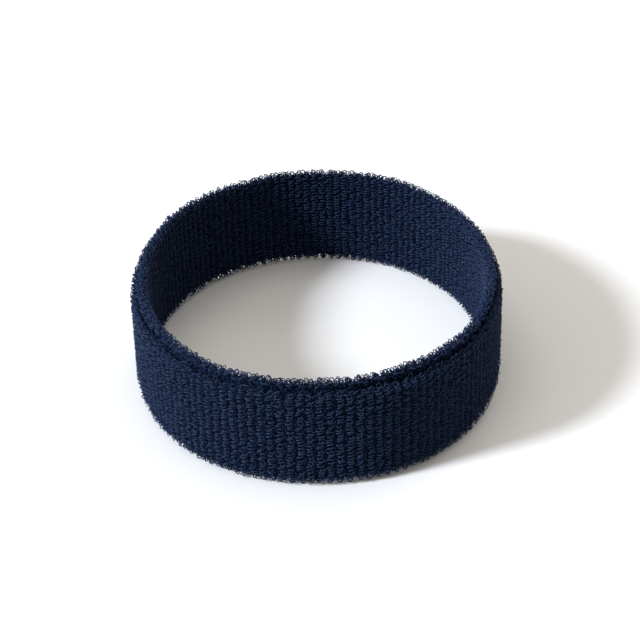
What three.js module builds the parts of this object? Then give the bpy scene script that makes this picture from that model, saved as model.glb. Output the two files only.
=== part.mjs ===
// Terry sweat headband, stretched to the oval it takes on a head.
//
// The band is a knitted tube turned back on itself, so it is two layers thick
// all the way round.  The two layers run into each other round the fold at the
// bottom edge and are sewn together along the top edge.  Laid-in elastic yarns
// run round the band between the layers, and a pile of terry loops stands on
// every side that shows or touches the skin.
//
// Sizes are in millimetres.  Z is up, X is side to side, -Y is the back of the
// head and +Y the forehead.  The band stands on its folded edge at z = 0.
import * as THREE from 'three';

// ---- the whole band, measured over the pile ----
const OUTER_WIDTH = 166.0; // side to side
const OUTER_DEPTH = 204.0; // back of the head to forehead
const BAND_HEIGHT = 50.0; // folded edge to the top of the inner lip
const OVAL_FULLNESS = 2.08; // 2 is a plain ellipse, a head is a little fuller

// ---- thickness of the layers ----
const PILE_DEPTH = 2.2; // terry loops, on both faces and under the fold
const GROUND_THICKNESS = 1.0; // knitted ground that carries the loops
const ELASTIC_DIAMETER = 0.8; // covered elastic yarn
const FIT_GAP = 0.3; // clearance between pieces that lie against each other

// ---- folded edge ----
const REST_HALF_WIDTH = 1.5; // half of the flat strip the band stands on
const FOLD_PILE_REACH = 2.2; // how far the fold's pile climbs past the turn

// ---- sewn edge ----
const OUTER_LIP_DROP = 4.2; // the outer lip stands this much below the inner
const LIP_ROUNDING = 1.7; // height of a lip's rounded top
const LIP_SHOULDER = 0.3; // straight side of the outer lip under its rounding
const GROOVE_WIDTH = 1.4; // slot between the two lips, over the seam
const SEAM_HEIGHT = 1.2; // overlocked stitches that close the tube
const SEAM_BEVEL = 0.35;

// ---- elastic ----
const ELASTIC_COUNT = 10; // one to every second row of loops
const ELASTIC_EDGE_MARGIN = 3.3; // first and last yarn to the ends of the slot

// ---- facets ----
const STATIONS = 60; // steps round the oval, the same for every piece
const YARN_SIDES = 6;
const LIP_STEPS = 6;
const FOLD_STEPS = 8;
const SLOT_STEPS = 4;
const EDGE_STEPS = 4;

// ---- distances out from the middle of the wall ----
const SLOT_SIDE = ELASTIC_DIAMETER / 2 + FIT_GAP;
const GROUND_SIDE = SLOT_SIDE + GROUND_THICKNESS;
const PILE_INSIDE = GROUND_SIDE + FIT_GAP;
const PILE_OUTSIDE = PILE_INSIDE + PILE_DEPTH;
const MIDDLE_HALF_WIDTH = OUTER_WIDTH / 2 - PILE_OUTSIDE;
const MIDDLE_HALF_DEPTH = OUTER_DEPTH / 2 - PILE_OUTSIDE;

// ---- heights ----
const FOLD_CENTRE = PILE_DEPTH + FIT_GAP + GROUND_SIDE;
const FOLD_PILE_TOP = FOLD_CENTRE + FOLD_PILE_REACH;
const FACE_PILE_BOTTOM = FOLD_PILE_TOP + FIT_GAP;
const OUTER_LIP_TOP = BAND_HEIGHT - OUTER_LIP_DROP;
const LIP_UNDERSIDE = OUTER_LIP_TOP - LIP_ROUNDING - LIP_SHOULDER;
const SEAM_TOP = LIP_UNDERSIDE - FIT_GAP;
const SEAM_BOTTOM = SEAM_TOP - SEAM_HEIGHT;
const GROUND_TOP = SEAM_BOTTOM - FIT_GAP;
const ELASTIC_LOWEST = FOLD_CENTRE + ELASTIC_EDGE_MARGIN;
const ELASTIC_HIGHEST = GROUND_TOP - ELASTIC_EDGE_MARGIN;

const NAVY = 0x1c2740;
const DEEP_NAVY = 0x151e33;
const SLATE = 0x2b3040;

function finish(color, roughness) {
  return new THREE.MeshStandardMaterial({ color, roughness, metalness: 0 });
}

// Points round the middle of the wall, each with its outward direction.
function ovalStations() {
  const stations = [];
  const reach = 2 / OVAL_FULLNESS;
  const steepness = OVAL_FULLNESS - 1;
  for (let i = 0; i < STATIONS; i += 1) {
    const turn = (2 * Math.PI * i) / STATIONS;
    const across = Math.sign(Math.cos(turn)) * Math.abs(Math.cos(turn)) ** reach;
    const along = Math.sign(Math.sin(turn)) * Math.abs(Math.sin(turn)) ** reach;
    const slopeX = (Math.sign(across) * Math.abs(across) ** steepness) / MIDDLE_HALF_WIDTH;
    const slopeY = (Math.sign(along) * Math.abs(along) ** steepness) / MIDDLE_HALF_DEPTH;
    const length = Math.hypot(slopeX, slopeY);
    stations.push({
      x: MIDDLE_HALF_WIDTH * across,
      y: MIDDLE_HALF_DEPTH * along,
      outX: slopeX / length,
      outY: slopeY / length,
    });
  }
  return stations;
}

// One closed section swept once round the oval.  Its points are
// [distance out from the middle of the wall, height], counter-clockwise.
function ringPiece(name, section, material) {
  const corners = section.length;
  const positions = [];
  for (const at of ovalStations()) {
    for (const [out, height] of section) {
      positions.push(at.x + at.outX * out, at.y + at.outY * out, height);
    }
  }
  const faces = [];
  for (let i = 0; i < STATIONS; i += 1) {
    const here = i * corners;
    const ahead = ((i + 1) % STATIONS) * corners;
    for (let j = 0; j < corners; j += 1) {
      const k = (j + 1) % corners;
      faces.push(here + j, ahead + j, ahead + k);
      faces.push(here + j, ahead + k, here + k);
    }
  }
  const geometry = new THREE.BufferGeometry();
  geometry.setAttribute('position', new THREE.Float32BufferAttribute(positions, 3));
  geometry.setIndex(faces);
  geometry.computeVertexNormals();
  const mesh = new THREE.Mesh(geometry, material);
  mesh.name = name;
  return mesh;
}

// Points of an elliptical arc in the section; 0 degrees is outwards, 90 is up.
function arc(centre, radii, fromDegrees, toDegrees, steps) {
  const points = [];
  for (let k = 0; k <= steps; k += 1) {
    const degrees = fromDegrees + ((toDegrees - fromDegrees) * k) / steps;
    const angle = THREE.MathUtils.degToRad(degrees);
    points.push([
      centre[0] + radii[0] * Math.cos(angle),
      centre[1] + radii[1] * Math.sin(angle),
    ]);
  }
  return points;
}

// The same section on the head side of the wall, still counter-clockwise.
function mirrored(section) {
  return section.map(([out, height]) => [-out, height]).reverse();
}

// Pile on the outer face: a flat wall whose rounded lip leans over the seam.
function facePileSection(top) {
  const lipInside = GROOVE_WIDTH / 2;
  const lipHalfWidth = (PILE_OUTSIDE - lipInside) / 2;
  const lipCentre = [lipInside + lipHalfWidth, top - LIP_ROUNDING];
  return [
    [PILE_INSIDE, FACE_PILE_BOTTOM],
    [PILE_OUTSIDE, FACE_PILE_BOTTOM],
    ...arc(lipCentre, [lipHalfWidth, LIP_ROUNDING], 0, 180, LIP_STEPS),
    [lipInside, LIP_UNDERSIDE],
    [PILE_INSIDE, LIP_UNDERSIDE],
  ];
}

// Pile wrapped round the fold, flat underneath where the band stands.
function foldPileSection() {
  const rounding = [PILE_OUTSIDE - REST_HALF_WIDTH, FOLD_CENTRE];
  return [
    [-PILE_OUTSIDE, FOLD_PILE_TOP],
    ...arc([-REST_HALF_WIDTH, FOLD_CENTRE], rounding, 180, 270, EDGE_STEPS),
    ...arc([REST_HALF_WIDTH, FOLD_CENTRE], rounding, 270, 360, EDGE_STEPS),
    [PILE_OUTSIDE, FOLD_PILE_TOP],
    [PILE_INSIDE, FOLD_PILE_TOP],
    ...arc([0, FOLD_CENTRE], [PILE_INSIDE, PILE_INSIDE], 360, 180, FOLD_STEPS),
    [-PILE_INSIDE, FOLD_PILE_TOP],
  ];
}

// Knitted ground: two walls joined by the fold, open at the top.
function groundSection() {
  return [
    ...arc([0, FOLD_CENTRE], [GROUND_SIDE, GROUND_SIDE], 180, 360, FOLD_STEPS),
    [GROUND_SIDE, GROUND_TOP],
    [SLOT_SIDE, GROUND_TOP],
    ...arc([0, FOLD_CENTRE], [SLOT_SIDE, SLOT_SIDE], 360, 180, SLOT_STEPS),
    [-SLOT_SIDE, GROUND_TOP],
    [-GROUND_SIDE, GROUND_TOP],
  ];
}

// Overlocked strip that lies across both edges of the ground.
function seamSection() {
  const side = GROUND_SIDE;
  return [
    [-side + SEAM_BEVEL, SEAM_BOTTOM],
    [side - SEAM_BEVEL, SEAM_BOTTOM],
    [side, SEAM_BOTTOM + SEAM_BEVEL],
    [side, SEAM_TOP - SEAM_BEVEL],
    [side - SEAM_BEVEL, SEAM_TOP],
    [-side + SEAM_BEVEL, SEAM_TOP],
    [-side, SEAM_TOP - SEAM_BEVEL],
    [-side, SEAM_BOTTOM + SEAM_BEVEL],
  ];
}

// Round section of one elastic yarn in the middle of the slot.
function yarnSection(height) {
  const radius = ELASTIC_DIAMETER / 2;
  const lastCorner = 360 - 360 / YARN_SIDES;
  return arc([0, height], [radius, radius], 0, lastCorner, YARN_SIDES - 1);
}

const outerTerry = finish(NAVY, 0.95);
const innerTerry = finish(NAVY, 0.95);
const foldTerry = finish(NAVY, 0.95);
const groundKnit = finish(DEEP_NAVY, 0.9);
const seamThread = finish(NAVY, 0.6);
const coveredElastic = finish(SLATE, 0.55);

const headband = new THREE.Group();
headband.name = 'terry_sweat_headband';
headband.add(ringPiece('ground_knit_tube', groundSection(), groundKnit));
headband.add(ringPiece('outer_terry_pile', facePileSection(OUTER_LIP_TOP), outerTerry));
headband.add(ringPiece('inner_terry_pile', mirrored(facePileSection(BAND_HEIGHT)), innerTerry));
headband.add(ringPiece('fold_terry_pile', foldPileSection(), foldTerry));
headband.add(ringPiece('closing_seam', seamSection(), seamThread));

for (let n = 0; n < ELASTIC_COUNT; n += 1) {
  const share = n / (ELASTIC_COUNT - 1);
  const height = ELASTIC_LOWEST + share * (ELASTIC_HIGHEST - ELASTIC_LOWEST);
  headband.add(ringPiece(`elastic_yarn_${n + 1}`, yarnSection(height), coveredElastic));
}

export default headband;
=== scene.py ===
"""Looks of the terry sweat headband: yarn loops on a knitted ground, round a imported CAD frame.

Everything is in metres in the part's own frame: +Z up, -Y the back of the head,
+Y the forehead.  The band stands on its folded edge; its sewn edge is on top.
A side of +1 means the outer wall of the band, and -1 the wall against the head.
"""
import math

import bpy
import numpy as np
from mathutils import Matrix, Vector


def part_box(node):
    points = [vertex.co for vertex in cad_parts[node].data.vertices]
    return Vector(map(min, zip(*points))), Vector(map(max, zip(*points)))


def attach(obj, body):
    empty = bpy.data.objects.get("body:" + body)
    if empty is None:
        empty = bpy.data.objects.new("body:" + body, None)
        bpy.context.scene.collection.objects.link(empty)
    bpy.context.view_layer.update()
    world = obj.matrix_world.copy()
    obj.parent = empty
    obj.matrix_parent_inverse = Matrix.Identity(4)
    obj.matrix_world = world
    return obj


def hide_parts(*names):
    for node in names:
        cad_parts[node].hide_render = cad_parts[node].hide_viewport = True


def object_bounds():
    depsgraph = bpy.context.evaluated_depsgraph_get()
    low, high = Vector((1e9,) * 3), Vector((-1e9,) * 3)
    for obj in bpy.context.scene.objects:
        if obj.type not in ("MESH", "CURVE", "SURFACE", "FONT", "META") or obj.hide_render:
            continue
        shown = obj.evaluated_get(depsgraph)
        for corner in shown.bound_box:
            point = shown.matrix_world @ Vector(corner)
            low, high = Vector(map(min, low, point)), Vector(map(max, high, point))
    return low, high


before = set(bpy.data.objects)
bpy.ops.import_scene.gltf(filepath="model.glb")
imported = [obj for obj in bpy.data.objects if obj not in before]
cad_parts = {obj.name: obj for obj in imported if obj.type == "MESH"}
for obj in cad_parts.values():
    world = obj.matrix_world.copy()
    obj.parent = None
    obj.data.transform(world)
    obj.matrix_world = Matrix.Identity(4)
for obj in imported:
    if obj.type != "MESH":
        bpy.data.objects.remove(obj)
cad_low, cad_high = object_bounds()

MM = 0.001
OVAL_FULLNESS = 2.08  # 2 is a plain ellipse
FIT_GAP = 0.3 * MM  # from an elastic yarn to the ground beside it
LIP_RADIUS = 0.5 * MM  # rounded top edge of a ground wall

# ---- terry loops ----
WALES = 142  # upright columns of loops round the band
ROW_PITCH = 1.5 * MM  # from one row of tall loops to the next, up a face
GROOVE_ROW_PITCH = 0.9 * MM  # rows of short loops on the inner wall, over the seam
FOLD_ROWS = 7  # rows of tall loops round the fold
TALL_REACH = 2.5 * MM  # a tall loop stands this far off the ground knit
TALL_WIDTH = 2.7 * MM
TALL_STEPS = 8  # points of yarn round a tall loop
SHORT_REACH = 1.6 * MM
SHORT_WIDTH = 0.9 * TALL_WIDTH
SHORT_STEPS = 4
YARN_RADIUS = 0.215 * MM
YARN_SIDES = 5
FOOT_DEPTH = 0.35 * MM  # a loop's feet go this far into the ground knit
FOOT_SPREAD = 0.42  # half the way between the feet, as a share of the loop's radius
LOOP_ARC = (222, -42)  # degrees, from one foot over the top to the other
LOOP_TWIST = 0.18  # how far a loop turns out of its own plane, as a share of its radius
PILE_LEAN = 0.36  # loops on the faces point up by this angle, in radians

# ---- rows over the rounded lips: 0 degrees is outwards, 90 is up ----
TALL_LIP_ANGLES = {1: (25, 60), -1: (16, 44, 72, 100, 128, 156)}
SHORT_LIP_ANGLES = {1: (20, 50, 80), -1: (20, 50, 80, 110, 140, 170)}
STRAY_ANGLE = 95  # single loops that lean out of the outer lip over the seam
STRAY_SHARE = 0.4  # of the columns have one

# ---- how far loops lie out of their places: sideways, in columns, and up or down ----
TALL_SCATTER = (0.14, 0.15 * MM)
BETWEEN_SCATTER = (0.32, 0.7 * MM)
LIP_SCATTER = (0.34, 0.3 * MM)
LOOSE_SCATTER = (0.5, 0.3 * MM)
FOLD_SCATTER = (0.16, 0.1 * MM)
FOLD_SHORT_SCATTER = (0.5, 0.1 * MM)

# ---- overlock stitches over the sewn edge ----
STITCHES = 260
THREAD_RADIUS = 0.2 * MM
THREAD_SIDES = 6
STITCH_CLEARANCE = 0.1 * MM  # a stitch lies this far over the seam
STITCH_LEG = 0.3 * MM  # and reaches this far below it

# ---- seeds, one for each piece, so that no two repeat each other ----
WALL_SEEDS = {1: 7, -1: 27}
LIP_SEED = 10  # added for the loops of a lip
SHORT_SEED = 4  # added for short loops
FOLD_SEED = 47
SEAM_SEED = 67
SCATTER_SEED = 7

# ---------------------------------------------------------------- sizes from the frame
BODY = "root"
ground_low, ground_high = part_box("ground_knit_tube")
seam_low, seam_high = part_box("closing_seam")
elastic_low, elastic_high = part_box("elastic_yarn_1")
_, outer_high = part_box("outer_terry_pile")
_, inner_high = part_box("inner_terry_pile")

# An elastic yarn is six-sided, so its box is root three of its radius tall.
elastic_radius = (elastic_high.z - elastic_low.z) / math.sqrt(3)
half_width = elastic_high.x - elastic_radius
half_depth = (ground_high.y - ground_high.x) + half_width
ground_side = ground_high.x - half_width
slot_side = elastic_radius + FIT_GAP
fold_centre = ground_low.z + ground_side
wall_middle = (slot_side + ground_side) / 2
lip_centre = {
    1: outer_high.z - TALL_REACH - LIP_RADIUS,
    -1: inner_high.z - TALL_REACH - LIP_RADIUS,
}


# ---------------------------------------------------------------- the oval
def oval(turn):
    """Middle of the wall at an angle: place and outward direction."""
    c, s = np.cos(turn), np.sin(turn)
    reach = 2 / OVAL_FULLNESS
    across = np.sign(c) * np.abs(c) ** reach
    along = np.sign(s) * np.abs(s) ** reach
    place = np.stack([half_width * across, half_depth * along], -1)
    steep = OVAL_FULLNESS - 1
    slope = np.stack(
        [
            np.sign(c) * np.abs(across) ** steep / half_width,
            np.sign(s) * np.abs(along) ** steep / half_depth,
        ],
        -1,
    )
    return place, slope / np.linalg.norm(slope, axis=-1, keepdims=True)


FINE_STEPS = 4000  # short enough to measure along the oval
fine_turns = np.linspace(0, 2 * np.pi, FINE_STEPS + 1)
fine_places, _ = oval(fine_turns)
fine_steps = np.linalg.norm(np.diff(fine_places, axis=0), axis=1)
fine_lengths = np.concatenate([[0], np.cumsum(fine_steps)])
girth = fine_lengths[-1]


def round_band(share):
    """Place and outward direction at a share of the way round, evenly by length."""
    turn = np.interp(np.mod(share, 1) * girth, fine_lengths, fine_turns)
    return oval(turn)


def along_band(normal):
    """The level direction along the band, square to its outward directions."""
    return np.stack([-normal[:, 1], normal[:, 0], np.zeros(len(normal))], -1)


# Unevenness that closes on itself: (waves round, size, phase) each.
WALL_SWAY = ((3, 0.05 * MM, 0.1), (7, 0.05 * MM, 0.6), (11, 0.03 * MM, 0.35))
LIP_SWAY = ((5, 0.28 * MM, 0.2), (9, 0.22 * MM, 0.75), (17, 0.15 * MM, 0.4))


def sway(share, waves):
    """How far the band strays from its place at shares of the way round."""
    total = np.zeros_like(share)
    for count, size, phase in waves:
        total += size * np.sin(2 * np.pi * (count * share + phase))
    return total


def on_band(share, out, height):
    """Points of the band from share round, distance out from mid-wall and height."""
    place, outward = round_band(share)
    rise = np.clip((height - fold_centre) / (cad_high.z - fold_centre), 0, 1)
    out = out + sway(share, WALL_SWAY)
    height = height + sway(share, LIP_SWAY) * rise**4
    flat = place + outward * out[..., None]
    return np.concatenate([flat, height[..., None]], -1)


# ---------------------------------------------------------------- camera and light
VIEW_ELEVATION = 30.0  # degrees above the floor
VIEW_DISTANCE = 0.821
VIEW_ROLL = -1.54  # degrees
VIEW_LENS = 102.0
FILM_WIDTH = 36.0
VIEW_SHIFT = (0.0048, -0.013)
VIEW_NEAREST, VIEW_FARTHEST = 0.01, 50
SKY_STRENGTH = 0.48
WALL_STRENGTH = 1.0
WHITE = (1.0, 1.0, 1.0, 1)
FLOOR_COLOUR = (0.90, 0.86, 0.80, 1)
FLOOR_ROUGHNESS = 0.8
FLOOR_HALF_WIDTH = 30.0


def put_in_scene(name, data):
    """A new object for a mesh, a lamp or a camera, linked to the scene."""
    thing = bpy.data.objects.new(name, data)
    bpy.context.scene.collection.objects.link(thing)
    return thing


def make_camera():
    """The camera, behind the head and above it, turned a little about its own axis."""
    target = Vector((0, 0, (cad_low.z + cad_high.z) / 2))
    rise = math.radians(VIEW_ELEVATION)
    back = Vector((0, -math.cos(rise), math.sin(rise)))
    camera = put_in_scene("camera", bpy.data.cameras.new("camera"))
    facing = (-back).to_track_quat("-Z", "Y").to_matrix().to_4x4()
    roll = Matrix.Rotation(math.radians(VIEW_ROLL), 4, "Z")
    camera.matrix_world = Matrix.Translation(target + back * VIEW_DISTANCE) @ facing @ roll
    camera.data.lens = VIEW_LENS
    camera.data.sensor_width = FILM_WIDTH
    camera.data.shift_x, camera.data.shift_y = VIEW_SHIFT
    camera.data.clip_start = VIEW_NEAREST
    camera.data.clip_end = VIEW_FARTHEST
    bpy.context.scene.camera = camera


def soft_light(kind, name, place, size, power, colour=(1, 1, 1)):
    """A lamp that looks at the band: a round panel, or a sun whose size is an angle."""
    data = bpy.data.lights.new(name, kind)
    data.energy = power
    data.color = colour
    if kind == "SUN":
        data.angle = math.radians(size)
    else:
        data.shape = "DISK"
        data.size = size
    light = put_in_scene(name, data)
    light.location = place
    light.rotation_mode = "QUATERNION"
    light.rotation_quaternion = (-Vector(place)).to_track_quat("-Z", "Y")


def make_lights():
    """A cool key light from the left, and two faint ones that open the shadows."""
    cool = (0.88, 0.98, 1.16)
    soft_light("SUN", "key", place=(-1.2, -0.45, 0.75), size=12, power=4.7, colour=cool)
    soft_light("SUN", "far_side", place=(0.8, 1.3, 0.6), size=40, power=0.9)
    soft_light("AREA", "top", place=(-0.2, 0.2, 1.4), size=1.2, power=3.0)


def make_world():
    """Even soft light from all round, in front of a white wall."""
    world = bpy.data.worlds.new("studio")
    bpy.context.scene.world = world
    world.use_nodes = True
    nodes, links = world.node_tree.nodes, world.node_tree.links
    background = nodes["Background"]
    background.inputs["Color"].default_value = WHITE
    path = nodes.new("ShaderNodeLightPath")
    strength = nodes.new("ShaderNodeMapRange")
    strength.inputs["To Min"].default_value = SKY_STRENGTH
    strength.inputs["To Max"].default_value = WALL_STRENGTH
    links.new(path.outputs["Is Camera Ray"], strength.inputs["Value"])
    links.new(strength.outputs["Result"], background.inputs["Strength"])


def make_floor():
    """The pale floor that the band stands on."""
    far = FLOOR_HALF_WIDTH
    corners = [(-far, -far, 0), (far, -far, 0), (far, far, 0), (-far, far, 0)]
    mesh = bpy.data.meshes.new("floor")
    mesh.from_pydata(corners, [], [(0, 1, 2, 3)])
    material = bpy.data.materials.new("pale_floor")
    material.use_nodes = True
    shader = material.node_tree.nodes["Principled BSDF"]
    shader.inputs["Base Color"].default_value = FLOOR_COLOUR
    shader.inputs["Roughness"].default_value = FLOOR_ROUGHNESS
    mesh.materials.append(material)
    put_in_scene("floor", mesh)


make_camera()
make_lights()
make_world()
bpy.context.scene.view_settings.view_transform = "Standard"
make_floor()


# ---------------------------------------------------------------- node helpers
class Tree:
    """Adds nodes to a tree.  A value is a constant, or the socket that feeds the input."""

    def __init__(self, tree):
        self.tree = tree

    def add(self, kind, values=None, **settings):
        """A node with its settings, then its values by input name or number."""
        node = self.tree.nodes.new(kind)
        for key, value in settings.items():
            setattr(node, key, value)
        for key, value in (values or {}).items():
            self.feed(node, key, value)
        return node

    def feed(self, node, key, value):
        """Links a socket to an input, or sets the input's constant."""
        socket = node.inputs[key]
        if isinstance(value, bpy.types.NodeSocket):
            self.tree.links.new(value, socket)
        else:
            socket.default_value = value

    def maths(self, operation, *terms):
        """The result of a sum on numbers."""
        return self.add("ShaderNodeMath", dict(enumerate(terms)), operation=operation).outputs[0]

    def vectors(self, operation, *terms):
        """The result of a sum on vectors."""
        node = self.add("ShaderNodeVectorMath", dict(enumerate(terms)), operation=operation)
        return node.outputs[0]

    def scaled(self, vector, scale):
        """A vector times a number."""
        node = self.add("ShaderNodeVectorMath", {0: vector, "Scale": scale}, operation="SCALE")
        return node.outputs[0]

    def noise(self, place, scale, detail):
        """Soft random patches: a node with Fac and Color."""
        return self.add("ShaderNodeTexNoise", {"Vector": place, "Scale": scale, "Detail": detail})

    def mixed(self, share, first, second, blend="MIX"):
        """A colour between two colours, or their product."""
        values = {0: share, 6: first, 7: second}
        return self.add("ShaderNodeMix", values, data_type="RGBA", blend_type=blend).outputs[2]

    def bump(self, height, strength, distance):
        """The normal of a relief."""
        values = {"Height": height, "Strength": strength, "Distance": distance}
        return self.add("ShaderNodeBump", values).outputs[0]

    def read(self, name, kind):
        """A named attribute of the geometry."""
        node = self.add("GeometryNodeInputNamedAttribute", {"Name": name}, data_type=kind)
        return node.outputs[0]

    def store(self, geometry, name, value, kind, domain):
        """The geometry with a named attribute added."""
        values = {"Geometry": geometry, "Name": name, "Value": value}
        node = self.add(
            "GeometryNodeStoreNamedAttribute", values, data_type=kind, domain=domain
        )
        return node.outputs[0]


def new_material(name):
    """A material, its tree and its shader."""
    material = bpy.data.materials.new(name)
    material.use_nodes = True
    tree = Tree(material.node_tree)
    return material, tree, material.node_tree.nodes["Principled BSDF"]


# ---------------------------------------------------------------- materials
PLY_TURNS = 6.0  # turns of the plies along one loop
PLY_SHARE, LOOP_SHARE, PATCH_SHARE = 0.35, 0.4, 0.35  # what lightens the cotton
GREENER_DYE = (0.72, 1.2, 0.98, 1)
REDDER_DYE = (1.32, 0.84, 1.04, 1)
SHEEN_TINT = (0.7, 0.8, 1.0, 1)
DARK_NAVY = (0.004, 0.010, 0.034, 1)
LIGHT_NAVY = (0.021, 0.038, 0.087, 1)
# painted shade: the short loops' light colour, darker than LIGHT_NAVY, stands for the shade they
# lie in among the tall loops
SHADED_NAVY = (0.012, 0.024, 0.060, 1)
DARK_THREAD = (0.008, 0.014, 0.036, 1)
LIGHT_THREAD = (0.018, 0.030, 0.074, 1)
# painted shade: the ground knit is coloured far darker than the loop yarn, for the shade deep
# under the loops
DARK_KNIT_PAINTED_SHADE = (0.0012, 0.003, 0.009, 1)
LIGHT_KNIT_PAINTED_SHADE = (0.006, 0.013, 0.034, 1)
DARK_SLATE = (0.016, 0.019, 0.03, 1)
LIGHT_SLATE = (0.045, 0.05, 0.07, 1)


def ply_twist_group():
    """Two plies twisted along a yarn, from the yarn's own map: their shade and relief."""
    group = bpy.data.node_groups.new("ply_twist", "ShaderNodeTree")
    face = group.interface
    face.new_socket("Map", in_out="INPUT", socket_type="NodeSocketVector")
    turns = face.new_socket("Turns", in_out="INPUT", socket_type="NodeSocketFloat")
    turns.default_value = PLY_TURNS
    face.new_socket("Ply", in_out="OUTPUT", socket_type="NodeSocketFloat")
    face.new_socket("Height", in_out="OUTPUT", socket_type="NodeSocketFloat")
    tree = Tree(group)
    start = tree.add("NodeGroupInput").outputs
    end = tree.add("NodeGroupOutput")
    split = tree.add("ShaderNodeSeparateXYZ", {0: start["Map"]}).outputs
    turned = tree.maths("MULTIPLY", split[0], start["Turns"])
    plies = tree.maths("MULTIPLY", split[1], 2.0)
    angle = tree.maths("MULTIPLY", tree.maths("ADD", turned, plies), math.pi)
    ply = tree.maths("ABSOLUTE", tree.maths("SINE", angle))
    place = tree.add("ShaderNodeTexCoord").outputs["Object"]
    fibre = tree.noise(place, scale=2600.0, detail=3.0).outputs["Fac"]
    relief = tree.maths("ADD", ply, tree.maths("MULTIPLY", fibre, 0.45))
    tree.feed(end, "Ply", ply)
    tree.feed(end, "Height", relief)
    return group


ply_twist = ply_twist_group()


def terry_material(name, dark, light, sheen):
    """Cotton yarn: two plies, a fuzzy sheen, and a tone that differs a little by loop."""
    material, tree, shader = new_material(name)
    own_map = tree.add("ShaderNodeUVMap", uv_map="yarn").outputs[0]
    twist = tree.add("ShaderNodeGroup", node_tree=ply_twist)
    tree.feed(twist, "Map", own_map)
    tone = tree.add("ShaderNodeAttribute", attribute_name="tone").outputs["Fac"]
    place = tree.add("ShaderNodeTexCoord").outputs["Object"]
    patches = tree.noise(place, scale=130.0, detail=2.0).outputs["Fac"]
    ply_part = tree.maths("MULTIPLY", twist.outputs["Ply"], PLY_SHARE)
    tone_part = tree.maths("MULTIPLY", tone, LOOP_SHARE)
    patch_part = tree.maths("MULTIPLY", patches, PATCH_SHARE)
    lightness = tree.maths("ADD", tree.maths("ADD", ply_part, tone_part), patch_part)
    cotton = tree.mixed(lightness, dark, light)
    drift = tree.noise(place, scale=110.0, detail=1.0).outputs["Fac"]
    dye = tree.mixed(drift, GREENER_DYE, REDDER_DYE)
    tree.feed(shader, "Base Color", tree.mixed(1.0, cotton, dye, blend="MULTIPLY"))
    relief = twist.outputs["Height"]
    tree.feed(shader, "Normal", tree.bump(relief, strength=0.6, distance=0.1 * MM))
    shader.inputs["Roughness"].default_value = 0.88
    shader.inputs["Specular IOR Level"].default_value = 0.06
    shader.inputs["Sheen Weight"].default_value = sheen
    shader.inputs["Sheen Roughness"].default_value = 0.45
    shader.inputs["Sheen Tint"].default_value = SHEEN_TINT
    return material


def knit_material():
    """Close ground knit: columns of stitches seen as small chevrons, in navy darkened nearly to
    black as painted shade under the pile.
    """
    material, tree, shader = new_material("ground_knit")
    own_map = tree.add("ShaderNodeUVMap", uv_map="stitches").outputs[0]
    split = tree.add("ShaderNodeSeparateXYZ", {0: own_map}).outputs
    column = tree.maths("PINGPONG", split[0], 1.0)
    row = tree.maths("ADD", split[1], tree.maths("MULTIPLY", column, 0.8))
    wave = tree.maths("SINE", tree.maths("MULTIPLY", row, 2 * math.pi))
    stitch = tree.add("ShaderNodeMapRange", {0: wave, 1: -1.0, 2: 1.0}).outputs[0]
    place = tree.add("ShaderNodeTexCoord").outputs["Object"]
    fibre = tree.noise(place, scale=1800.0, detail=3.0).outputs["Fac"]
    tree.feed(shader, "Base Color", tree.mixed(stitch, DARK_KNIT_PAINTED_SHADE, LIGHT_KNIT_PAINTED_SHADE))
    relief = tree.maths("ADD", stitch, fibre)
    tree.feed(shader, "Normal", tree.bump(relief, strength=0.8, distance=0.15 * MM))
    shader.inputs["Roughness"].default_value = 0.9
    shader.inputs["Specular IOR Level"].default_value = 0.02
    return material


def elastic_material():
    """Rubber core wound with filament: fine slanted rings."""
    material, tree, shader = new_material("covered_elastic")
    place = tree.add("ShaderNodeTexCoord").outputs["Object"]
    winding = tree.add(
        "ShaderNodeTexWave",
        {"Vector": place, "Scale": 900.0, "Distortion": 0.6},
        bands_direction="DIAGONAL",
    ).outputs["Fac"]
    tree.feed(shader, "Base Color", tree.mixed(winding, DARK_SLATE, LIGHT_SLATE))
    tree.feed(shader, "Normal", tree.bump(winding, strength=0.5, distance=0.05 * MM))
    shader.inputs["Roughness"].default_value = 0.5
    return material


terry = terry_material("terry_cotton", DARK_NAVY, LIGHT_NAVY, sheen=0.15)
# painted shade: the short loops are the same yarn, coloured darker for the shade between and
# under the tall loops
terry_short_painted_shade = terry_material("terry_cotton_short_painted_shade", DARK_NAVY, SHADED_NAVY, sheen=0.05)
seam_thread = terry_material("seam_thread", DARK_THREAD, LIGHT_THREAD, sheen=0.05)


# ---------------------------------------------------------------- forms that repeat
def tube_points(path, radius, sides):
    """Rings of points round a short path."""
    ahead = np.gradient(path, axis=0)
    ahead /= np.linalg.norm(ahead, axis=1, keepdims=True)
    side = np.cross(ahead, (0, 1, 0))
    side /= np.linalg.norm(side, axis=1, keepdims=True)
    other = np.cross(ahead, side)
    points = []
    for i in range(len(path)):
        for k in range(sides):
            angle = 2 * math.pi * k / sides
            out = math.cos(angle) * side[i] + math.sin(angle) * other[i]
            points.append(path[i] + radius * out)
    return np.array(points)


def tube_faces(count, sides):
    """Faces of a tube with closed ends, and each corner's (share along, share round)."""
    faces, corners = [], []
    for i in range(count - 1):
        here, ahead = i * sides, (i + 1) * sides
        low, high = i / (count - 1), (i + 1) / (count - 1)
        for k in range(sides):
            right = (k + 1) % sides
            left_share, right_share = k / sides, (k + 1) / sides
            faces.append((here + k, here + right, ahead + right, ahead + k))
            corners += [(low, left_share), (low, right_share)]
            corners += [(high, right_share), (high, left_share)]
    last = (count - 1) * sides
    faces.append(tuple(reversed(range(sides))))
    corners += [(0, 0.5)] * sides
    faces.append(tuple(range(last, last + sides)))
    corners += [(1, 0.5)] * sides
    return faces, corners


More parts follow.
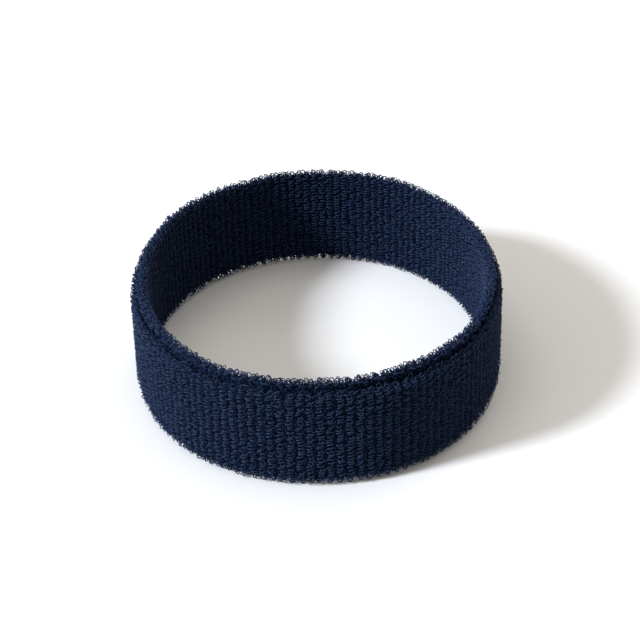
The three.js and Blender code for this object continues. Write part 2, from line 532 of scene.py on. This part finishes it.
def tube_form(name, path, radius, sides):
    """A closed tube along a short path, with its own map and how far up a point is."""
    path = np.array(path, float)
    points = tube_points(path, radius, sides)
    faces, corners = tube_faces(len(path), sides)
    mesh = bpy.data.meshes.new(name)
    mesh.from_pydata([tuple(p) for p in points], [], faces)
    layer = mesh.uv_layers.new(name="yarn")
    layer.data.foreach_set("uv", np.array(corners, np.float32).ravel())
    rise = np.clip(points[:, 2] / path[:, 2].max(), 0, 1)
    attribute = mesh.attributes.new("rise", "FLOAT", "POINT")
    attribute.data.foreach_set("value", rise.astype(np.float32))
    return bpy.data.objects.new(name, mesh)


def loop_path(width, reach, steps):
    """An omega: two feet close together, opening into a round top; +Z is outwards."""
    radius = width / 2 - YARN_RADIUS
    centre = reach - YARN_RADIUS - radius
    foot = FOOT_SPREAD * radius
    arc_start, arc_end = (math.radians(degrees) for degrees in LOOP_ARC)
    path = [(-foot, 0.0, -FOOT_DEPTH)]
    for i in range(steps):
        angle = arc_start + (arc_end - arc_start) * i / (steps - 1)
        across = radius * math.cos(angle)
        twist = LOOP_TWIST * radius * math.sin(angle - math.pi / 2)
        path.append((across, -twist, centre + radius * math.sin(angle)))
    path.append((foot, 0.0, -FOOT_DEPTH))
    return path


# ---------------------------------------------------------------- tree for what repeats
PILE_INPUTS = (
    ("Geometry", "NodeSocketGeometry"),
    ("Form", "NodeSocketObject"),
    ("Material", "NodeSocketMaterial"),
    ("Shake Low", "NodeSocketVector"),
    ("Shake High", "NodeSocketVector"),
    ("Smallest", "NodeSocketVector"),
    ("Largest", "NodeSocketVector"),
    ("Wander", "NodeSocketFloat"),
    ("Wander Scale", "NodeSocketFloat"),
    ("Cells", "NodeSocketFloat"),
    ("Seed", "NodeSocketInt"),
)
SIZE_SEED = 11.0  # added, so that size and tone don't follow the shake
TONE_SEED = 23.0
CELL_FILL = (0.9, 0.9, 0.0)  # how much of its square a copy's map takes up
CELL_MARGIN = (0.05, 0.05, 0.0)


def set_on_guides(tree, start):
    """Copies of the form on the guides, each turned to its guide, shaken and scaled."""
    outward = tree.read("outward", "FLOAT_VECTOR")
    along = tree.read("along", "FLOAT_VECTOR")
    axes = tree.add(
        "FunctionNodeAxesToRotation",
        {0: outward, 1: along},
        primary_axis="Z",
        secondary_axis="X",
    )
    shake = tree.add(
        "FunctionNodeRandomValue",
        {0: start["Shake Low"], 1: start["Shake High"], "Seed": start["Seed"]},
        data_type="FLOAT_VECTOR",
    )
    lean = tree.add("ShaderNodeCombineXYZ", {0: tree.read("lean", "FLOAT")})
    angles = tree.vectors("ADD", shake.outputs[0], lean.outputs[0])
    turned = tree.add("FunctionNodeEulerToRotation", {0: angles})
    rotation = tree.add(
        "FunctionNodeRotateRotation",
        {0: axes.outputs[0], 1: turned.outputs[0]},
        rotation_space="LOCAL",
    )
    size_seed = tree.maths("ADD", start["Seed"], SIZE_SEED)
    size = tree.add(
        "FunctionNodeRandomValue",
        {0: start["Smallest"], 1: start["Largest"], "Seed": size_seed},
        data_type="FLOAT_VECTOR",
    )
    form = tree.add("GeometryNodeObjectInfo", {"Object": start["Form"]})
    placed = tree.add(
        "GeometryNodeInstanceOnPoints",
        {
            "Points": start["Geometry"],
            "Instance": form.outputs["Geometry"],
            "Rotation": rotation.outputs[0],
            "Scale": size.outputs[0],
        },
    )
    return placed.outputs[0]


def make_real(tree, start, placed):
    """Plain geometry from the copies, each with a tone and a number of its own."""
    tone_seed = tree.maths("ADD", start["Seed"], TONE_SEED)
    tone = tree.add("FunctionNodeRandomValue", {"Seed": tone_seed}, data_type="FLOAT")
    toned = tree.store(placed, "tone", tone.outputs[1], "FLOAT", "INSTANCE")
    number = tree.add("GeometryNodeInputIndex").outputs[0]
    numbered = tree.store(toned, "number", number, "FLOAT", "INSTANCE")
    return tree.add("GeometryNodeRealizeInstances", {0: numbered}).outputs[0]


def wander(tree, start, real):
    """Pushes the yarn about smoothly, more the farther it stands off the ground."""
    place = tree.add("GeometryNodeInputPosition").outputs[0]
    noise = tree.noise(place, scale=start["Wander Scale"], detail=1.0)
    centred = tree.vectors("SUBTRACT", noise.outputs["Color"], (0.5, 0.5, 0.5))
    strength = tree.maths("MULTIPLY", tree.read("rise", "FLOAT"), start["Wander"])
    offset = tree.scaled(centred, strength)
    return tree.add("GeometryNodeSetPosition", {"Geometry": real, "Offset": offset}).outputs[0]


def map_in_cells(tree, start, moved):
    """Gives each copy a square of its own in the map that the finish is stored in."""
    own = tree.read("yarn", "FLOAT_VECTOR")
    which = tree.read("number", "FLOAT")
    column = tree.maths("MODULO", which, start["Cells"])
    row = tree.maths("FLOOR", tree.maths("DIVIDE", which, start["Cells"]))
    cell = tree.add("ShaderNodeCombineXYZ", {0: column, 1: row}).outputs[0]
    inside = tree.vectors("MULTIPLY_ADD", own, CELL_FILL, CELL_MARGIN)
    shrink = tree.maths("DIVIDE", 1.0, start["Cells"])
    squared = tree.scaled(tree.vectors("ADD", cell, inside), shrink)
    return tree.store(moved, "OFBake", squared, "FLOAT2", "CORNER")


def pile_tree():
    """Sets one form on every guide point and makes the copies one plain mesh."""
    group = bpy.data.node_groups.new("terry_pile", "GeometryNodeTree")
    for name, kind in PILE_INPUTS:
        group.interface.new_socket(name, in_out="INPUT", socket_type=kind)
    group.interface.new_socket("Geometry", in_out="OUTPUT", socket_type="NodeSocketGeometry")
    tree = Tree(group)
    start = tree.add("NodeGroupInput").outputs
    end = tree.add("NodeGroupOutput")
    placed = set_on_guides(tree, start)
    moved = wander(tree, start, make_real(tree, start, placed))
    mapped = map_in_cells(tree, start, moved)
    smooth = tree.add("GeometryNodeSetShadeSmooth", {0: mapped}).outputs[0]
    finished = tree.add("GeometryNodeSetMaterial", {0: smooth, "Material": start["Material"]})
    tree.feed(end, 0, finished.outputs[0])
    return group


pile = pile_tree()


def guide_mesh(name, guides):
    """Points with the directions and the lean that the tree reads."""
    mesh = bpy.data.meshes.new(name)
    mesh.from_pydata([tuple(p) for p in guides["place"]], [], [])
    for key in ("outward", "along"):
        layer = mesh.attributes.new(key, "FLOAT_VECTOR", "POINT")
        layer.data.foreach_set("vector", guides[key].astype(np.float32).ravel())
    layer = mesh.attributes.new("lean", "FLOAT", "POINT")
    layer.data.foreach_set("value", guides["lean"].astype(np.float32))
    return mesh


def set_forms(name, guides, inputs):
    """Runs the tree on guide points and returns the plain mesh as a linked piece."""
    piece = put_in_scene(name, guide_mesh(name, guides))
    modifier = piece.modifiers.new("forms", "NODES")
    modifier.node_group = pile
    cells = math.ceil(math.sqrt(len(guides["place"])))
    inputs = {**inputs, "Cells": float(cells)}
    for item in pile.interface.items_tree:
        if item.in_out == "INPUT" and item.name in inputs:
            modifier[item.identifier] = inputs[item.name]
    bpy.context.view_layer.update()
    depsgraph = bpy.context.evaluated_depsgraph_get()
    made = bpy.data.meshes.new_from_object(
        piece.evaluated_get(depsgraph), preserve_all_data_layers=True, depsgraph=depsgraph
    )
    piece.modifiers.clear()
    piece.data = made
    made.name = name
    return piece


# ---------------------------------------------------------------- rows of loops
# A row is (distance out from mid-wall, height, angle of its loops, lean).
def face_rows(side, shift):
    """Rows up one flat face, from the fold to the lip."""
    top = lip_centre[side]
    count = round((top - fold_centre) / ROW_PITCH)
    pitch = (top - fold_centre) / count
    heights = [fold_centre + (i + shift) * pitch for i in range(count)]
    return [(ground_side, height, 0.0, -PILE_LEAN) for height in heights]


def lip_rows(side, angles):
    """Rows over the rounded top edge, fanning from outwards to over the seam."""
    rows = []
    for degrees in angles:
        angle = math.radians(degrees)
        out = wall_middle + LIP_RADIUS * math.cos(angle)
        height = lip_centre[side] + LIP_RADIUS * math.sin(angle)
        rows.append((out, height, angle, 0.0))
    return rows


def groove_rows():
    """Rows down the face of the inner wall that looks into the groove, as far as the seam."""
    top = lip_centre[-1]
    count = round((top - seam_high.z) / GROOVE_ROW_PITCH)
    heights = [top - i * GROOVE_ROW_PITCH for i in range(count)]
    return [(slot_side, height, math.pi, 0.0) for height in heights]


def fold_rows(count):
    """Rows fanned round the fold, from the outer face to the inner."""
    rows = []
    for i in range(count):
        angle = -math.pi * (i + 0.5) / count
        out = ground_side * math.cos(angle)
        height = fold_centre + ground_side * math.sin(angle)
        rows.append((out, height, angle, 0.0))
    return rows


def guides_for(rows, shares, side, generator, scatter):
    """Guide points of loops: rows by columns, each loop a little out of its place."""
    sideways, upward = scatter
    wale = 1 / WALES
    count = len(shares)
    places, outwards, alongs, leans = [], [], [], []
    for out, height, angle, lean in rows:
        share = shares + generator.uniform(-sideways, sideways, count) * wale
        up = height + generator.uniform(-upward, upward, count)
        _, normal = round_band(share)
        outward = np.zeros((count, 3))
        outward[:, :2] = normal * (math.cos(angle) * side)
        outward[:, 2] = math.sin(angle)
        places.append(on_band(share, np.full(count, out * side), up))
        outwards.append(outward)
        alongs.append(along_band(normal) * side)
        leans.append(np.full(count, lean))
    return {
        "place": np.concatenate(places),
        "outward": np.concatenate(outwards),
        "along": np.concatenate(alongs),
        "lean": np.concatenate(leans),
    }


# ---------------------------------------------------------------- the pile
tall_path = loop_path(TALL_WIDTH, TALL_REACH, TALL_STEPS)
short_path = loop_path(SHORT_WIDTH, SHORT_REACH, SHORT_STEPS)

# Shakes are turns in radians.  Sizes are shares of the form's width, thickness and reach.
TALL_LOOPS = {
    "Form": tube_form("tall_loop", tall_path, YARN_RADIUS, YARN_SIDES),
    "Material": terry,
    "Shake Low": (-0.18, -0.16, -0.2),
    "Shake High": (0.18, 0.16, 0.2),
    "Smallest": (0.88, 0.9, 0.9),
    "Largest": (1.1, 1.1, 1.08),
    "Wander": 0.75 * MM,
    "Wander Scale": 300.0,
}
EDGE_LOOPS = {
    **TALL_LOOPS,
    "Shake Low": (-0.3, -0.25, -0.5),
    "Shake High": (0.3, 0.25, 0.5),
    "Smallest": (0.76, 0.9, 0.84),
    "Largest": (0.94, 1.1, 1.04),
}
SHORT_LOOPS = {
    **TALL_LOOPS,
    "Form": tube_form("short_loop", short_path, YARN_RADIUS, YARN_SIDES),
    # the darker yarn of the short loops is painted shade
    "Material": terry_short_painted_shade,
    "Shake Low": (-0.4, -0.4, -1.4),
    "Shake High": (0.4, 0.4, 1.4),
    "Smallest": (0.85, 0.9, 0.75),
    "Largest": (1.15, 1.1, 1.15),
    "Wander": 0.8 * MM,
}
QUARTERS = ("back", "right", "forehead", "left")
wale_shares = (np.arange(WALES) + 0.5) / WALES


def quarter_of(shares):
    """Which of the quarters a column is in, from the direction it faces."""
    _, normal = round_band(shares)
    turned = np.arctan2(normal[:, 1], normal[:, 0]) + math.pi / 2
    half_quarter = 0.5 / len(QUARTERS)
    share = np.mod(turned / (2 * math.pi) + half_quarter, 1)
    return np.floor(share * len(QUARTERS)).astype(int)


def add_pile(name, guides, loops, seed, node):
    """One piece of pile, in place of its CAD node."""
    piece = set_forms(name, guides, {**loops, "Seed": seed})
    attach(piece, BODY)
    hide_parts(node)


def make_face_pile(label, side, generator):
    """Tall loops in columns up one face, and short ones between the columns, by quarters."""
    node, slot = f"{label}_terry_pile", f"terry_{label}"
    quarters = quarter_of(wale_shares)
    for index, quarter in enumerate(QUARTERS):
        seed = WALL_SEEDS[side] + index
        shares = wale_shares[quarters == index]
        guides = guides_for(face_rows(side, 0.5), shares, side, generator, TALL_SCATTER)
        add_pile(f"{label}_terry_{quarter}", guides, TALL_LOOPS, seed, node)
        between = shares + 0.5 / WALES
        guides = guides_for(face_rows(side, 0.0), between, side, generator, BETWEEN_SCATTER)
        add_pile(f"{label}_short_{quarter}", guides, SHORT_LOOPS, seed + SHORT_SEED, node)


def lip_guides(side, generator):
    """Guides of the tall loops of a lip; single ones lean out of the outer lip."""
    rows = lip_rows(side, TALL_LIP_ANGLES[side])
    guides = guides_for(rows, wale_shares, side, generator, LIP_SCATTER)
    if side < 0:
        return guides
    some = wale_shares[generator.random(WALES) < STRAY_SHARE]
    strays = guides_for(lip_rows(side, (STRAY_ANGLE,)), some, side, generator, LOOSE_SCATTER)
    return {key: np.concatenate([guides[key], strays[key]]) for key in guides}


def make_lip_pile(label, side, generator):
    """Loops over one rounded lip; on the inner wall short ones go on down to the seam."""
    node, slot = f"{label}_terry_pile", f"terry_{label}"
    seed = WALL_SEEDS[side] + LIP_SEED
    add_pile(f"{label}_lip_terry", lip_guides(side, generator), EDGE_LOOPS, seed, node)
    rows = lip_rows(side, SHORT_LIP_ANGLES[side])
    if side < 0:
        rows += groove_rows()
    guides = guides_for(rows, wale_shares, side, generator, LOOSE_SCATTER)
    add_pile(f"{label}_lip_short", guides, SHORT_LOOPS, seed + SHORT_SEED, node)


def make_fold_pile(generator):
    """Loops spread round the folded edge."""
    node, slot = "fold_terry_pile", "terry_fold"
    guides = guides_for(fold_rows(FOLD_ROWS), wale_shares, 1, generator, FOLD_SCATTER)
    add_pile("fold_terry", guides, EDGE_LOOPS, FOLD_SEED, node)
    rows = fold_rows(2 * FOLD_ROWS)
    guides = guides_for(rows, wale_shares, 1, generator, FOLD_SHORT_SCATTER)
    add_pile("fold_short", guides, SHORT_LOOPS, FOLD_SEED + SHORT_SEED, node)


def make_pile():
    """All the loops, drawn from one generator in a fixed order."""
    generator = np.random.default_rng(SCATTER_SEED)
    for label, side in (("outer", 1), ("inner", -1)):
        make_face_pile(label, side, generator)
        make_lip_pile(label, side, generator)
    make_fold_pile(generator)


make_pile()


# ---------------------------------------------------------------- ground knit
WALL_STEPS = 24
LIP_STEPS = 6
SLOT_STEPS = 6
FOLD_STEPS = 10
KNIT_WALES = 2 * WALES  # stitches of the ground, two to a column of loops
KNIT_ROWS = 2 / ROW_PITCH  # to the metre


def wall_section(side):
    """One wall: up its face, over its rounded edge and down its slot side."""
    lip = lip_centre[side]
    tall = lip - fold_centre
    points = [(ground_side, fold_centre + tall * i / WALL_STEPS) for i in range(WALL_STEPS)]
    for i in range(LIP_STEPS + 1):
        angle = math.pi * i / LIP_STEPS
        out = wall_middle + LIP_RADIUS * math.cos(angle)
        points.append((out, lip + LIP_RADIUS * math.sin(angle)))
    for i in range(1, WALL_STEPS + 1):
        points.append((slot_side, lip - tall * i / WALL_STEPS))
    return [(side * out, height) for out, height in points]


def turn_section(radius, start, end, steps):
    """Points of a turn round the fold's centre, without its two ends."""
    points = []
    for i in range(1, steps):
        angle = start + (end - start) * i / steps
        points.append((radius * math.cos(angle), fold_centre + radius * math.sin(angle)))
    return points


def ground_section():
    """Closed outline of the folded ground: two walls, the slot's turn and the fold."""
    slot_turn = turn_section(slot_side, 0.0, -math.pi, SLOT_STEPS)
    fold_turn = turn_section(ground_side, math.pi, 2 * math.pi, FOLD_STEPS)
    return np.array(wall_section(1) + slot_turn + wall_section(-1)[::-1] + fold_turn)


def swept(name, section, steps, map_name, columns, rows_per_metre):
    """A closed section swept round the band, with a map in columns and rows."""
    corners = len(section)
    share = np.repeat(np.arange(steps) / steps, corners)
    points = on_band(share, np.tile(section[:, 0], steps), np.tile(section[:, 1], steps))
    outline = np.vstack([section, section[:1]])
    lengths = np.linalg.norm(np.diff(outline, axis=0), axis=1)
    run = np.concatenate([[0], np.cumsum(lengths)])
    faces, maps = [], []
    for i in range(steps):
        here, ahead = i * corners, ((i + 1) % steps) * corners
        left, right = columns * i / steps, columns * (i + 1) / steps
        for j in range(corners):
            k = (j + 1) % corners
            faces.append((here + j, ahead + j, ahead + k, here + k))
            low, high = run[j] * rows_per_metre, run[j + 1] * rows_per_metre
            maps += [(left, low), (right, low), (right, high), (left, high)]
    mesh = bpy.data.meshes.new(name)
    mesh.from_pydata([tuple(p) for p in points], [], faces)
    layer = mesh.uv_layers.new(name=map_name)
    layer.data.foreach_set("uv", np.array(maps, np.float32).ravel())
    mesh.polygons.foreach_set("use_smooth", [True] * len(faces))
    return put_in_scene(name, mesh)


ground = swept("ground_knit", ground_section(), KNIT_WALES, "stitches", KNIT_WALES, KNIT_ROWS)
ground.data.materials.append(knit_material())
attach(ground, BODY)
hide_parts("ground_knit_tube")


# ---------------------------------------------------------------- seam stitches
def stitch_path():
    """One stitch over the edge, slanting by its pitch; both legs are alike, turned round."""
    pitch = girth / STITCHES
    half = ground_side
    depth = (seam_low.z - STITCH_LEG) - (seam_high.z + STITCH_CLEARANCE)
    leg = [
        (0.5 * pitch, half, depth),
        (0.45 * pitch, 0.95 * half, -0.25 * MM),
        (0.25 * pitch, 0.45 * half, 0.0),
    ]
    crown = (0.0, 0.0, 0.1 * MM)
    return [(-x, -y, z) for x, y, z in leg] + [crown] + leg[::-1]


def make_seam():
    """Overlock stitches over both turned edges, leaning along the groove."""
    top = seam_high.z + STITCH_CLEARANCE
    share = (np.arange(STITCHES) + 0.5) / STITCHES
    _, normal = round_band(share)
    guides = {
        "place": on_band(share, np.zeros(STITCHES), np.full(STITCHES, top)),
        "outward": np.tile((0.0, 0.0, 1.0), (STITCHES, 1)),
        "along": along_band(normal),
        "lean": np.zeros(STITCHES),
    }
    inputs = {
        "Form": tube_form("stitch_form", stitch_path(), THREAD_RADIUS, THREAD_SIDES),
        "Material": seam_thread,
        "Shake Low": (-0.05, -0.05, -0.1),
        "Shake High": (0.05, 0.05, 0.1),
        "Smallest": (0.9, 0.95, 0.95),
        "Largest": (1.1, 1.05, 1.05),
        "Wander": 0.1 * MM,
        "Wander Scale": 400.0,
        "Seed": SEAM_SEED,
    }
    piece = set_forms("seam_stitches", guides, inputs)
    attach(piece, BODY)
    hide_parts("closing_seam")
    return piece


seam = make_seam()

# ---------------------------------------------------------------- elastic yarns stay as in CAD
elastic = elastic_material()
for name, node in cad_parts.items():
    if name.startswith("elastic_yarn_"):
        node.data.materials.clear()
        node.data.materials.append(elastic)
